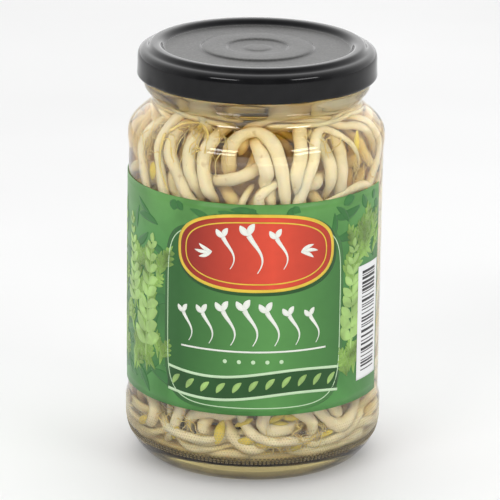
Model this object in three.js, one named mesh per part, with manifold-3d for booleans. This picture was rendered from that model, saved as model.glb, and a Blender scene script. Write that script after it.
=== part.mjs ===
// A glass jar of mung bean sprouts in brine, with a paper label and a twist-off metal lid.
// Millimetres, +Z up. The origin is the centre of the base, and the label's front faces -Y.
// An azimuth is in degrees about +Z, 0 at the front and growing towards +X.
import * as THREE from "three";
import { mergeVertices } from "three/addons/utils/BufferGeometryUtils.js";
import Module from "manifold-3d";

// Driving dimensions of the jar
const PANEL_RADIUS = 36.4; // straight wall behind the label
const BULGE_RADIUS = 36.9; // the two rings of contact above and below the label
const WALL = 2.3; // thickness of the side wall
const BASE_RING_OUTER = 30.2; // the ring that the jar stands on
const BASE_RING_INNER = 27.2;
const PUSH_UP = 2.2; // hollow under the base
const FLOOR = 6.2; // inside of the base, at its middle
const HEEL_TOP = 12; // the heel's curve ends here, on the lower ring of contact
const NECK_RADIUS = 29.75; // groove under the neck bead
const NECK_HEIGHT = 105.1;
const BEAD_RADIUS = 32.5;
const BEAD_TOP = 111.05;
const FINISH_RADIUS = 30.2; // wall that carries the thread
const MOUTH_RADIUS = 28;
const RIM_HEIGHT = 119.4; // sealing surface of the mouth

// Driving dimensions of the label
const LABEL_BOTTOM = 21.7;
const LABEL_TOP = 83.6;
const LABEL_RADIUS = 36.5; // its inner face
const PAPER = 0.25;
const LABEL_RIGHT_EDGE = 72; // azimuth of its right edge
const LABEL_SWEEP = 324;

// Driving dimensions of the lid and its thread
const LID_RADIUS = 34.1;
const LID_BOTTOM = 111.35;
const LID_TOP = 120.8;
const PANEL_HEIGHT = 119.2; // sunk top panel
const SHEET = 0.45;
const CURL_RADIUS = 0.9;
const LUG_COUNT = 4;
const FIRST_LUG = -56; // azimuth of a lug's middle when the lid is closed
const LUG_SWEEP = 12;
const LUG_TIP = 30.95; // radius of its inner edge
const LUG_UNDERSIDE = LID_BOTTOM + 0.5; // at its tip, and lower at its root in the curl
const LUG_ROOT_UNDERSIDE = LID_BOTTOM + 0.2;
const LUG_UPPER_SIDE = LID_BOTTOM + 1.4;
const THREAD_LEAD = 5; // rise in one turn
const THREAD_CREST = 31.5;
const THREAD_CREST_HEIGHT = 0.9; // the ridge is this high at its crest
const THREAD_ROOT_HEIGHT = 1.9; // and this high where it leaves the wall
const THREAD_BEFORE = 12; // degrees that a thread reaches past its lug's middle, each way
const THREAD_AFTER = 44;
const THREAD_ENDS = [0.25, 0.9]; // share of its reach at the first two stations from an end
const THREAD_STEPS = 8;
const THREAD_CLEARANCE = 0.15; // over the closed lug
const FLAT_START = 0.08; // a thread starts this far under its slope's own start, and level

// Driving dimensions of the contents
const TOUCH_GAP = 0.3; // between pieces that touch
const BRINE_LAYER = 0.6; // brine between the sprouts and the glass
const BRINE_LEVEL = 111.5;
const HEAP_TOP = 108; // top of the packed sprouts
const CORE_DEPTH = 5.6; // the heap's core lies this far inside the glass
const STALK_RADIUS = 2;
const THINNEST_STALK = 1.5;
const STALK_SIDES = 5;
const STALK_STEP = 9; // length of one straight stretch of a stalk
const LOOSE_STALKS = 28;
const SHORTEST_STALK = 40;
const LONGEST_STALK = 78;
const LOWEST_STALK = 10; // heights between which a loose stalk wanders
const HIGHEST_STALK = 104;
const TURN_MARGIN = 9; // it turns back this close to either of them
const TURN_BACK = 0.5; // radians in one stretch
const MOST_BEND = 0.06; // radians per millimetre
const MOST_CHANGE = 0.12; // share of that bend that is gained or lost in one stretch
const FRONT_DEPTH = 0.3; // a stalk in front lies at most this deep in the heap
const LOOSE_DEPTH = 1.2;
const END_DIVE = 5; // a stalk's end dives this far into the heap
const DIVE_LENGTH = 9;
const HEAD_SHARE = 0.15; // share of a stalk that is its thick head
const HEAD_SWELL = 1.25;
const ROOT_TAPER = 0.45;
const ROOT_SLOPE = 3;
const SEED = 20483;

const ROUND_STEPS = 36; // sides of the turned pieces
const BRINE_STEPS = 30;
const CORE_STEPS = 16;
const CURVE_STEPS = 3; // straight stretches in one curve of an outline

const RADIANS = Math.PI / 180;
const wasm = await Module();
wasm.setup();

const at = (radius, height) => new THREE.Vector2(radius, height);

function place(azimuth, radius, height) {
  const angle = azimuth * RADIANS;
  return new THREE.Vector3(radius * Math.sin(angle), -radius * Math.cos(angle), height);
}

// A point on the front of LatheGeometry's circle goes to the front of the jar.
function turned(outline, steps) {
  const geometry = new THREE.LatheGeometry(outline, steps);
  return geometry.rotateX(Math.PI / 2);
}

function solidOf(geometry) {
  const bare = geometry.clone();
  bare.deleteAttribute("normal");
  bare.deleteAttribute("uv");
  const merged = mergeVertices(bare, 1e-4);
  const mesh = new wasm.Mesh({
    numProp: 3,
    vertProperties: merged.attributes.position.array,
    triVerts: new Uint32Array(merged.index.array),
  });
  return new wasm.Manifold(mesh);
}

function geometryOf(solid) {
  const mesh = solid.getMesh();
  const geometry = new THREE.BufferGeometry();
  geometry.setAttribute("position", new THREE.BufferAttribute(mesh.vertProperties, 3));
  geometry.setIndex(new THREE.BufferAttribute(mesh.triVerts, 1));
  return geometry.toNonIndexed();
}

// Moves each point of an open outline sideways, to the left of its direction.
function inset(outline, distance) {
  return outline.map((point, i) => {
    const before = outline[Math.max(i - 1, 0)];
    const after = outline[Math.min(i + 1, outline.length - 1)];
    const into = point.clone().sub(before).normalize();
    const out = after.clone().sub(point).normalize();
    if (i === 0) into.copy(out);
    if (i === outline.length - 1) out.copy(into);
    const along = into.clone().add(out).normalize();
    const reach = distance / Math.max(along.dot(into), 0.5);
    const radius = point.x === 0 ? 0 : Math.max(point.x - along.y * reach, 0);
    return at(radius, point.y + along.x * reach);
  });
}

// Radius of an outline at a height, on the part of it that rises.
function radiusAt(outline, height) {
  for (let i = 1; i < outline.length; i += 1) {
    const low = outline[i - 1];
    const high = outline[i];
    if (height <= high.y && high.y > low.y && high.x > 0) {
      const share = Math.max((height - low.y) / (high.y - low.y), 0);
      return low.x + (high.x - low.x) * share;
    }
  }
  return outline[outline.length - 1].x;
}

// The jar's outline from the middle of its underside up to the rim.
function outerOutline() {
  const path = new THREE.Path();
  path.moveTo(0, PUSH_UP);
  path.quadraticCurveTo(BASE_RING_INNER - 6, PUSH_UP - 0.3, BASE_RING_INNER, 0);
  path.lineTo(BASE_RING_OUTER, 0);
  path.bezierCurveTo(33.3, 1.9, BULGE_RADIUS, 6, BULGE_RADIUS, HEEL_TOP);
  path.lineTo(BULGE_RADIUS, 16.5);
  path.lineTo(PANEL_RADIUS, 19.5);
  path.lineTo(PANEL_RADIUS, 90);
  path.quadraticCurveTo(PANEL_RADIUS, 92, BULGE_RADIUS - 0.2, 93.5);
  path.lineTo(BULGE_RADIUS - 0.2, 95);
  path.bezierCurveTo(36.6, 97.6, 35.3, 98.9, 33.2, 100.75);
  path.bezierCurveTo(31.3, 102.4, NECK_RADIUS, 103.4, NECK_RADIUS, NECK_HEIGHT);
  path.bezierCurveTo(NECK_RADIUS, 106.4, 31.6, 107, 32.2, 109.2);
  path.lineTo(BEAD_RADIUS, 110.3);
  path.lineTo(BEAD_RADIUS - 0.8, BEAD_TOP);
  path.lineTo(FINISH_RADIUS, BEAD_TOP);
  path.lineTo(FINISH_RADIUS, RIM_HEIGHT - 0.8);
  path.quadraticCurveTo(FINISH_RADIUS, RIM_HEIGHT, FINISH_RADIUS - 0.7, RIM_HEIGHT);
  return path.getPoints(CURVE_STEPS);
}

// The inside of the glass, from the middle of its floor up to the rim.
function innerOutline() {
  const innerRadius = PANEL_RADIUS - WALL;
  const path = new THREE.Path();
  path.moveTo(0, FLOOR);
  path.lineTo(24, FLOOR - 0.9);
  path.bezierCurveTo(31.5, FLOOR - 0.7, innerRadius, 9.5, innerRadius, 16);
  path.lineTo(innerRadius, 93.5);
  path.bezierCurveTo(innerRadius, 97.2, 32.6, 98.4, 30.6, 100);
  path.bezierCurveTo(28.6, 101.6, 27.4, 102.8, 27.4, NECK_HEIGHT);
  path.lineTo(MOUTH_RADIUS, 111);
  path.lineTo(MOUTH_RADIUS, RIM_HEIGHT - 1);
  path.quadraticCurveTo(MOUTH_RADIUS + 0.1, RIM_HEIGHT, MOUTH_RADIUS + 0.9, RIM_HEIGHT);
  return path.getPoints(CURVE_STEPS);
}

const GLASS_INSIDE = innerOutline();

// A rib round part of a circle: each station gives four corners as [radius, height].
function rib(stations) {
  const positions = stations.flatMap(({ azimuth, corners }) =>
    corners.flatMap(([radius, height]) => place(azimuth, radius, height).toArray()),
  );
  const faces = [0, 1, 2, 0, 2, 3];
  for (let i = 0; i + 1 < stations.length; i += 1) {
    for (let side = 0; side < 4; side += 1) {
      const a = 4 * i + side;
      const b = 4 * i + ((side + 1) % 4);
      faces.push(a, b + 4, b, a, a + 4, b + 4);
    }
  }
  const last = 4 * (stations.length - 1);
  faces.push(last, last + 2, last + 1, last, last + 3, last + 2);
  const geometry = new THREE.BufferGeometry();
  geometry.setAttribute("position", new THREE.Float32BufferAttribute(positions, 3));
  geometry.setIndex(faces);
  return geometry;
}

// One start of the thread: a ridge that rises from over its closed lug and fades out.
function threadStart(lugAzimuth) {
  const root = FINISH_RADIUS - 0.6;
  const stations = [];
  for (let i = 0; i <= THREAD_STEPS; i += 1) {
    const turn = -THREAD_BEFORE + ((THREAD_BEFORE + THREAD_AFTER) * i) / THREAD_STEPS;
    const share = THREAD_ENDS[Math.min(i, THREAD_STEPS - i)] ?? 1;
    const crest = FINISH_RADIUS + (THREAD_CREST - FINISH_RADIUS) * share;
    const rise = (THREAD_LEAD * (turn + LUG_SWEEP / 2)) / 360;
    const bottom = LUG_UPPER_SIDE + THREAD_CLEARANCE + Math.max(rise, -FLAT_START);
    stations.push({
      azimuth: lugAzimuth + turn,
      corners: [
        [root, bottom],
        [crest, bottom],
        [crest, bottom + THREAD_CREST_HEIGHT],
        [root, bottom + THREAD_ROOT_HEIGHT],
      ],
    });
  }
  return rib(stations);
}

function lugAzimuths() {
  return Array.from({ length: LUG_COUNT }, (_, i) => FIRST_LUG + (360 / LUG_COUNT) * i);
}

function jarGeometry() {
  const outline = [...outerOutline(), ...innerOutline().reverse()];
  let solid = solidOf(turned(outline, ROUND_STEPS));
  for (const azimuth of lugAzimuths()) solid = solid.add(solidOf(threadStart(azimuth)));
  return geometryOf(solid);
}

// The lid's upper surface, from the safety button out to the edge of the curl.
function lidOutline() {
  const path = new THREE.Path();
  path.moveTo(0, PANEL_HEIGHT + 0.1);
  path.lineTo(3.4, PANEL_HEIGHT + 0.1);
  path.lineTo(4.2, PANEL_HEIGHT - 0.1);
  path.lineTo(8.2, PANEL_HEIGHT + 0.1);
  path.lineTo(9.4, PANEL_HEIGHT + 0.5);
  path.lineTo(15.4, PANEL_HEIGHT + 0.5);
  path.lineTo(16.6, PANEL_HEIGHT);
  path.lineTo(26.2, PANEL_HEIGHT);
  path.lineTo(27.6, LID_TOP - 0.7);
  path.quadraticCurveTo(27.9, LID_TOP, 28.7, LID_TOP);
  path.lineTo(30, LID_TOP);
  path.quadraticCurveTo(30.7, LID_TOP, 31.2, LID_TOP - 0.8);
  path.quadraticCurveTo(31.5, LID_TOP - 1.5, 32.4, LID_TOP - 1.6);
  path.quadraticCurveTo(LID_RADIUS - 0.2, LID_TOP - 1.9, LID_RADIUS - 0.15, LID_TOP - 3.6);
  path.lineTo(LID_RADIUS, LID_BOTTOM + CURL_RADIUS);
  return path.getPoints(2);
}

// The sheet closes in a half-round curl that stands inside the skirt.
function lidGeometry() {
  const top = lidOutline();
  const curl = [1, 2, 3, 4].map((step) => {
    const angle = (-step * Math.PI) / 4;
    const middle = LID_RADIUS - CURL_RADIUS;
    const height = LID_BOTTOM + CURL_RADIUS;
    return at(middle + CURL_RADIUS * Math.cos(angle), height + CURL_RADIUS * Math.sin(angle));
  });
  const under = inset(top, -SHEET).slice(0, -1);
  const shoulder = at(LID_RADIUS - SHEET, LID_BOTTOM + 2 * CURL_RADIUS + 0.3);
  const outline = [...top, ...curl, shoulder, ...under.reverse()].reverse();
  let solid = solidOf(turned(outline, ROUND_STEPS));
  for (const middle of lugAzimuths()) {
    const stations = [-0.5, -0.17, 0.17, 0.5].map((share) => ({
      azimuth: middle + LUG_SWEEP * share,
      corners: [
        [LUG_TIP, LUG_UNDERSIDE],
        [LID_RADIUS - CURL_RADIUS, LUG_ROOT_UNDERSIDE],
        [LID_RADIUS - CURL_RADIUS, LUG_UPPER_SIDE],
        [LUG_TIP, LUG_UPPER_SIDE],
      ],
    }));
    solid = solid.add(solidOf(rib(stations)));
  }
  return geometryOf(solid);
}

// The moulded gasket in the channel of the lid, over the rim of the glass.
function sealGeometry() {
  const bottom = RIM_HEIGHT + 0.1;
  const top = LID_TOP - SHEET - 0.15;
  const outline = [at(28.75, bottom), at(30.5, bottom), at(30.1, top), at(28.95, top)];
  outline.push(outline[0].clone());
  return turned(outline, ROUND_STEPS);
}

// The label wraps the panel with its ends apart, and its corners follow the glass's facets.
function labelGeometry() {
  const facet = 360 / ROUND_STEPS;
  const start = LABEL_RIGHT_EDGE - LABEL_SWEEP;
  const azimuths = [start];
  for (let turn = Math.ceil(start / facet + 0.01); turn * facet < LABEL_RIGHT_EDGE; turn += 1) {
    azimuths.push(turn * facet);
  }
  azimuths.push(LABEL_RIGHT_EDGE);
  const outer = LABEL_RADIUS + PAPER;
  return rib(
    azimuths.map((azimuth) => ({
      azimuth,
      corners: [
        [LABEL_RADIUS, LABEL_BOTTOM],
        [outer, LABEL_BOTTOM],
        [outer, LABEL_TOP],
        [LABEL_RADIUS, LABEL_TOP],
      ],
    })),
  );
}

function belowLevel(outline, level) {
  const kept = outline.filter((point) => point.y < level);
  return [...kept, at(radiusAt(outline, level), level)];
}

// The brine next to the glass, with the plain open hole that the sprouts stand in.
function brineGeometry() {
  const outside = belowLevel(inset(GLASS_INSIDE, TOUCH_GAP), BRINE_LEVEL);
  const hole = belowLevel(inset(GLASS_INSIDE, TOUCH_GAP + BRINE_LAYER), BRINE_LEVEL);
  return turned([...outside, ...hole.reverse()], BRINE_STEPS);
}

// Park and Miller's generator, from 0 to 1.
function randomNumbers(seed) {
  let state = seed;
  return () => {
    state = (state * 16807) % 2147483647;
    return state / 2147483647;
  };
}

// Stalks that show in front, above and below the label, as [azimuth, height] from end to end.
const FRONT_STALKS = [
  [[-44, 104], [-49, 100.5], [-48, 94.6], [-38, 87.7], [-31, 84.4], [-18, 78]],
  [[-26, 103], [-33, 99.5], [-33, 94.3], [-33, 89.2], [-30, 79]],
  [[-18, 102.5], [-26, 99.9], [-28, 95.8], [-26, 88], [-20, 78]],
  [[-1, 98], [3, 94.5], [6, 90.9], [9.3, 85.9], [12, 77]],
  [[-15, 90], [-14, 95.8], [-10.7, 98.9], [-4, 101], [3, 101.2], [7, 97.8], [11, 91.8], [13.4, 86], [16, 75]],
  [[-40, 84], [-24, 88.1], [-8.5, 90.2], [0, 92.4], [12, 97]],
  [[33, 103.5], [27, 99.5], [22.8, 94.2], [21.2, 88.2], [24, 78]],
  [[25, 102.5], [33, 99.5], [37, 94.9], [38.5, 89.7], [39, 80]],
  [[52, 103], [49, 99.1], [45.2, 92.9], [46, 84.8], [50, 74]],
  [[8, 84], [18.9, 85.8], [25.9, 86.9], [36, 89.5], [56, 88]],
  [[-60, 103], [-66, 99], [-70, 92], [-66, 84], [-58, 74]],
  [[20, 20.9], [1.4, 20.9], [-18.9, 20.6], [-29, 19.2], [-35.6, 15.7], [-38, 9.5]],
  [[-20, 26], [-26.4, 17.1], [-25.3, 13.7], [-21, 9]],
  [[10, 30], [6, 21.4], [2.8, 16.2], [9.7, 15.4], [22.2, 16.7], [34, 22]],
  [[14, 27], [23.8, 19.7], [29.3, 17.8], [32, 13.2], [33.5, 9]],
  [[36, 28], [43.7, 20.6], [49.4, 16.1], [52, 10.5]],
  [[-78, 30], [-62, 22], [-55, 16], [-60, 11], [-74, 12]],
];

// A loose stalk wanders over the wall of the jar and turns back at the shoulder and the floor.
function looseStalk(random) {
  const low = LOWEST_STALK + TURN_MARGIN;
  const high = HIGHEST_STALK - TURN_MARGIN;
  let azimuth = 360 * random();
  let height = low + (high - low) * random();
  let heading = 2 * Math.PI * random();
  let bend = MOST_BEND * (2 * random() - 1);
  const change = MOST_CHANGE * MOST_BEND * (2 * random() - 1);
  const length = SHORTEST_STALK + (LONGEST_STALK - SHORTEST_STALK) * random();
  const route = [];
  for (let run = 0; run <= length; run += STALK_STEP) {
    route.push([azimuth, height]);
    const radius = radiusAt(GLASS_INSIDE, height);
    azimuth += (STALK_STEP * Math.cos(heading)) / radius / RADIANS;
    height += STALK_STEP * Math.sin(heading);
    height = Math.min(Math.max(height, LOWEST_STALK), HIGHEST_STALK);
    bend += change;
    heading += bend * STALK_STEP;
    const rising = Math.sin(heading) > 0;
    if ((height > high && rising) || (height < low && !rising)) {
      heading += rising === Math.cos(heading) > 0 ? -TURN_BACK : TURN_BACK;
    }
  }
  return route;
}

// A stalk lies under the glass along its route, and its ends dive into the heap.
function stalkGeometry(route, thickness, depth) {
  const line = inset(GLASS_INSIDE, 2 * TOUCH_GAP + BRINE_LAYER + thickness);
  const flat = new THREE.CatmullRomCurve3(
    route.map(([azimuth, height]) => place(azimuth, radiusAt(line, height), height)),
  );
  const length = flat.getLength();
  const steps = Math.round(length / STALK_STEP) + 2;
  const points = flat.getSpacedPoints(steps).map((point, i) => {
    const run = (length * i) / steps;
    const fromEnd = Math.min(run, length - run);
    const dive = END_DIVE * Math.max(1 - fromEnd / DIVE_LENGTH, 0) ** 2;
    const inside = radiusAt(line, point.z) - depth - dive;
    const scale = inside / Math.hypot(point.x, point.y);
    return new THREE.Vector3(point.x * scale, point.y * scale, point.z);
  });
  const curve = new THREE.CatmullRomCurve3(points);
  const frames = curve.computeFrenetFrames(steps);
  const positions = [];
  for (let i = 0; i <= steps; i += 1) {
    const share = i / steps;
    const taper = Math.min(1, ROOT_TAPER + ROOT_SLOPE * (1 - share));
    const swell = share < HEAD_SHARE ? HEAD_SWELL : taper;
    const middle = curve.getPointAt(share);
    for (let side = 0; side < STALK_SIDES; side += 1) {
      const angle = (2 * Math.PI * side) / STALK_SIDES;
      const corner = middle
        .clone()
        .addScaledVector(frames.normals[i], Math.cos(angle) * thickness * swell)
        .addScaledVector(frames.binormals[i], Math.sin(angle) * thickness * swell);
      positions.push(...corner.toArray());
    }
  }
  const faces = [];
  for (let i = 0; i < steps; i += 1) {
    for (let side = 0; side < STALK_SIDES; side += 1) {
      const a = STALK_SIDES * i + side;
      const b = STALK_SIDES * i + ((side + 1) % STALK_SIDES);
      faces.push(a, b, b + STALK_SIDES, a, b + STALK_SIDES, a + STALK_SIDES);
    }
  }
  const last = STALK_SIDES * steps;
  for (let side = 1; side + 1 < STALK_SIDES; side += 1) {
    faces.push(0, side + 1, side, last, last + side, last + side + 1);
  }
  const geometry = new THREE.BufferGeometry();
  geometry.setAttribute("position", new THREE.Float32BufferAttribute(positions, 3));
  geometry.setIndex(faces);
  return geometry;
}

// The packed heap: a core, and stalks that stand out of it all round.
function sproutsGeometry() {
  const random = randomNumbers(SEED);
  const core = belowLevel(inset(GLASS_INSIDE, CORE_DEPTH), HEAP_TOP);
  const solids = [solidOf(turned([...core, at(0, HEAP_TOP)], CORE_STEPS))];
  for (const route of FRONT_STALKS) {
    solids.push(solidOf(stalkGeometry(route, STALK_RADIUS, FRONT_DEPTH * random())));
  }
  for (let i = 0; i < LOOSE_STALKS; i += 1) {
    const thickness = THINNEST_STALK + (STALK_RADIUS - THINNEST_STALK) * random();
    const route = looseStalk(random);
    solids.push(solidOf(stalkGeometry(route, thickness, LOOSE_DEPTH * random())));
  }
  const whole = wasm.Manifold.union(solids);
  const bodies = whole.decompose().sort((a, b) => b.volume() - a.volume());
  return geometryOf(bodies[0]);
}

function piece(name, geometry, look) {
  geometry.computeVertexNormals();
  const mesh = new THREE.Mesh(geometry, new THREE.MeshStandardMaterial(look));
  mesh.name = name;
  return mesh;
}

const jarOfSprouts = new THREE.Group();
const CLEAR = { transparent: true, metalness: 0 };
jarOfSprouts.add(
  piece("jar", jarGeometry(), { ...CLEAR, color: 0xe6e4da, roughness: 0.04, opacity: 0.3 }),
  piece("brine", brineGeometry(), { ...CLEAR, color: 0xd9b45a, roughness: 0.05, opacity: 0.35 }),
  piece("sprouts", sproutsGeometry(), { color: 0xe8dcbd, roughness: 0.45, metalness: 0 }),
  piece("label", labelGeometry(), { color: 0x3f8f4c, roughness: 0.5, metalness: 0 }),
  piece("seal_ring", sealGeometry(), { color: 0xd8d4c8, roughness: 0.6, metalness: 0 }),
  piece("lid", lidGeometry(), { color: 0x17181b, roughness: 0.2, metalness: 0.3 }),
);

export default jarOfSprouts;
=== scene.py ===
"""A glass jar of bean sprouts in brine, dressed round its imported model.

Lengths are in millimetres until a mesh is made. An azimuth is in degrees about +Z, 0 at the
front (-Y) and growing towards +X, and a place on the label is (arc length, height).
"""

import math

import bpy
import numpy as np
from mathutils import Euler, Matrix, Vector


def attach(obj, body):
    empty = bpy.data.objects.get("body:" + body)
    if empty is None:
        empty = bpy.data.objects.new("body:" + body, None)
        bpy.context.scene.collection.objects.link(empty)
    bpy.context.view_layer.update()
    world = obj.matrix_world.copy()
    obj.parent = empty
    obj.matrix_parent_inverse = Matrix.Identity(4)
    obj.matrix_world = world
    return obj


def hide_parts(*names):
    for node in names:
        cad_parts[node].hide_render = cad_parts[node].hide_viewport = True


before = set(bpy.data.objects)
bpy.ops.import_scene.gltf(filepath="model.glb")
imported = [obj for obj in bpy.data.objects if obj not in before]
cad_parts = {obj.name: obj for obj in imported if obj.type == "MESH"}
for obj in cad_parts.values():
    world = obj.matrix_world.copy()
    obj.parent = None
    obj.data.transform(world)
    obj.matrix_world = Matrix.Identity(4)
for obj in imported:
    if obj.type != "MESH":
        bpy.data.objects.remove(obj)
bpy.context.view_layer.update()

MM = 0.001
JAR_BODY = "jar_body"
LID_BODY = "lid_body"

# The jar, as in the solids
PANEL_RADIUS = 36.4
BULGE_RADIUS = 36.9
WALL = 2.3
FLOOR = 6.2
NECK_RADIUS = 29.75
NECK_HEIGHT = 105.1
BEAD_RADIUS = 32.5
BEAD_TOP = 111.05
FINISH_RADIUS = 30.2
MOUTH_RADIUS = 28
RIM_HEIGHT = 119.4
GLASS_STEPS = 288
CURVE_STEPS = 10
HEEL_DASHES = 190
HEEL_DOTS = 280
SEAM_AZIMUTH = 81
SEAM_HEIGHT = 0.06  # the wall stands back by this on both sides of its seam

# The label
LABEL_BOTTOM = 21.7
LABEL_TOP = 83.6
LABEL_INNER = 36.47
PAPER = 0.2
LABEL_RIGHT_EDGE = 72
LABEL_SWEEP = 324
INK_LIFT = 0.02  # of each layer over the one below it
PRINT_STEP = 0.8  # longest step along or across a stroke
EDGE_MARGIN = 1
SHORTEST_LEAF = 1

# The lid and its thread
LID_RADIUS = 34.1
LID_BOTTOM = 111.35
LID_TOP = 120.8
LID_PANEL = 119.2
SHEET = 0.3
CURL_RADIUS = 0.9
LUG_COUNT = 4
FIRST_LUG = -56
LUG_SWEEP = 12
LUG_TIP = 30.95
LUG_TOP = 1.4  # over the lid's lower edge
THREAD_LEAD = 5
THREAD_CREST = 31.5
THREAD_BEFORE = 12
THREAD_AFTER = 44
THREAD_CLEARANCE = 0.15
FLAT_START = 0.08  # a thread starts this far under its slope's own start, and level
LID_STEPS = 240

# The studio
FRONT_LIGHT = 0.24
BACK_LIGHT = 1.75
FLOOR_REACH = 6
CAMERA_TILT = 17.35
CAMERA_ROLL = 0.81

# The contents
BRINE_LEVEL = 111.5
STALK_RADIUS = 2
THINNEST_STALK = 1.5
STALK_STEP = 9
OUTER_LOOSE = 92
MIDDLE_LOOSE = 70
INNER_LOOSE = 44
SHORTEST_STALK = 40
LONGEST_STALK = 78
LOWEST_STALK = 10
HIGHEST_STALK = 104
TURN_MARGIN = 9
TURN_BACK = 0.5
MOST_BEND = 0.06
MOST_CHANGE = 0.12
NECK_STALKS = 30
FLOOR_STALKS = 34
LOWEST_MIDDLE = 6
HIGHEST_MIDDLE = 110
RELAX_ROUNDS = 24
BATCH = 250  # points whose neighbours are looked for at a time
FRONT_WEIGHT = 8.0  # keeps the stalks of the solids in their places
CORE_DEPTH = 12  # the heap's plain middle lies this far inside the glass
CORE_STEPS = 120
LEAF_RIBS = (-1, -0.5, 0, 0.5, 1)  # places across a seed leaf
SEED = 20483
ALL_ROUND = 6.28  # about one turn, in radians

# Looks that several materials share. Flesh is painted deep in colour, as shade and brine tint, up to one
# radius and pale from the other
WET_SPECULAR = 0.03
PAPER_SHEEN = {"Roughness": 0.36, "Specular IOR Level": 0.35}
BRIGHTEST = 0.95
DEEP_RADIUS = 25.8
PALE_RADIUS = 31.8
SHOULDER_START = 95.5
SHOULDER_LEAN = 0.3


# Random numbers and curves


def random_numbers(seed):
    """Park and Miller's generator, from 0 to 1, as in the solids."""
    state = seed
    while True:
        state = state * 16807 % 2147483647
        yield state / 2147483647


def mix(low, high, share):
    return low + (high - low) * share


def smooth_step(low, high, value):
    share = np.clip((value - low) / (high - low), 0, 1)
    return share * share * (3 - 2 * share)


def place(azimuth, radius, height):
    angle = math.radians(azimuth)
    return (radius * math.sin(angle), -radius * math.cos(angle), height)


def catmull(points, count):
    """count points evenly along a smooth curve through the given points."""
    points = np.asarray(points, float)
    padded = np.vstack([2 * points[0] - points[1], points, 2 * points[-1] - points[-2]])
    fine = []
    for i in range(1, len(padded) - 2):
        a, b, c, d = padded[i - 1 : i + 3]
        square, cube = 2 * a - 5 * b + 4 * c - d, 3 * b - a - 3 * c + d
        for t in np.linspace(0, 1, 16, endpoint=False):
            fine.append(0.5 * (2 * b + (c - a) * t + square * t**2 + cube * t**3))
    fine.append(padded[-2])
    return spaced(np.array(fine), count)


def spaced(points, count):
    """count points evenly along a polyline."""
    lengths = np.r_[0, np.cumsum(np.linalg.norm(np.diff(points, axis=0), axis=1))]
    stations = np.linspace(0, lengths[-1], count)
    return np.stack([np.interp(stations, lengths, points[:, k]) for k in range(points.shape[1])], 1)


def unit(vectors):
    """Each vector made one long."""
    return vectors / np.linalg.norm(vectors, axis=-1, keepdims=True)


def length_of(points):
    return float(np.linalg.norm(np.diff(points, axis=0), axis=1).sum())


class Outline:
    """An outline of [radius, height] points, drawn as a pen would."""

    def __init__(self, radius, height):
        self.points = [(radius, height)]

    def line(self, radius, height):
        self.points.append((radius, height))
        return self

    def curve(self, *controls, steps=CURVE_STEPS):
        corners = [np.array(p, float) for p in (self.points[-1], *controls)]
        for i in range(1, steps + 1):
            level = corners
            while len(level) > 1:
                level = [mix(a, b, i / steps) for a, b in zip(level, level[1:])]
            self.points.append(tuple(level[0]))
        return self


def outer_outline():
    pen = Outline(0, 2.2).curve((21.2, 1.9), (26.6, 0.45))
    pen.curve((27.0, 0), (27.6, 0), steps=3).line(29.6, 0).curve((30.2, 0), (30.7, 0.35), steps=3)
    pen.curve((33.6, 2.2), (BULGE_RADIUS, 6), (BULGE_RADIUS, 12), steps=22)
    pen.line(BULGE_RADIUS, 14).line(BULGE_RADIUS, 16.2)
    pen.curve((36.8, 17.6), (PANEL_RADIUS, 18), (PANEL_RADIUS, 19.5))
    for height in (30, 42, 54, 66, 78, 89.5):
        pen.line(PANEL_RADIUS, height)
    pen.curve((PANEL_RADIUS, 92), (36.7, 92.4), (36.7, 94)).line(36.7, 95)
    pen.curve((36.6, 97.6), (35.3, 98.9), (33.2, 100.75))
    pen.curve((31.3, 102.4), (NECK_RADIUS, 103.4), (NECK_RADIUS, NECK_HEIGHT))
    pen.curve((NECK_RADIUS, 106.4), (31.5, 106.8), (32.1, 108.8))
    pen.curve((32.5, 110.1), (BEAD_RADIUS, 110.9), (31.7, BEAD_TOP), steps=6)
    pen.curve((30.6, BEAD_TOP), (FINISH_RADIUS, 111.3), steps=4).line(FINISH_RADIUS, RIM_HEIGHT - 0.8)
    return pen.curve((FINISH_RADIUS, RIM_HEIGHT), (29.4, RIM_HEIGHT), steps=5).points


def inner_outline():
    inner = PANEL_RADIUS - WALL
    pen = Outline(0, FLOOR).line(12, FLOOR - 0.3).line(24, FLOOR - 0.9)
    pen.curve((31.5, FLOOR - 0.7), (inner, 9.5), (inner, 16), steps=14)
    for height in (32, 50, 70, 93.5):
        pen.line(inner, height)
    pen.curve((inner, 97.2), (32.6, 98.4), (30.6, 100))
    pen.curve((28.6, 101.6), (27.4, 102.8), (27.4, NECK_HEIGHT))
    pen.line(MOUTH_RADIUS, 111).line(MOUTH_RADIUS, RIM_HEIGHT - 1)
    return pen.curve((28.1, RIM_HEIGHT), (28.9, RIM_HEIGHT), steps=5).points


GLASS_INSIDE = np.array(inner_outline())
HEEL = np.array([point for point in outer_outline() if 3 < point[1] < 20])


def inset(outline, distance):
    """Each point of an open outline moved sideways, to the left of its direction."""
    outline = np.asarray(outline, float)
    along = unit(np.gradient(outline, axis=0))
    moved = outline + distance * np.stack([-along[:, 1], along[:, 0]], 1)
    moved[outline[:, 0] == 0, 0] = 0
    return moved


def radius_at(outline, height):
    """Radius of an outline at a height, on the part of it that rises."""
    rising = outline[outline[:, 0] > 24.5]
    return np.interp(height, rising[:, 1], rising[:, 0])


# Materials


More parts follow.
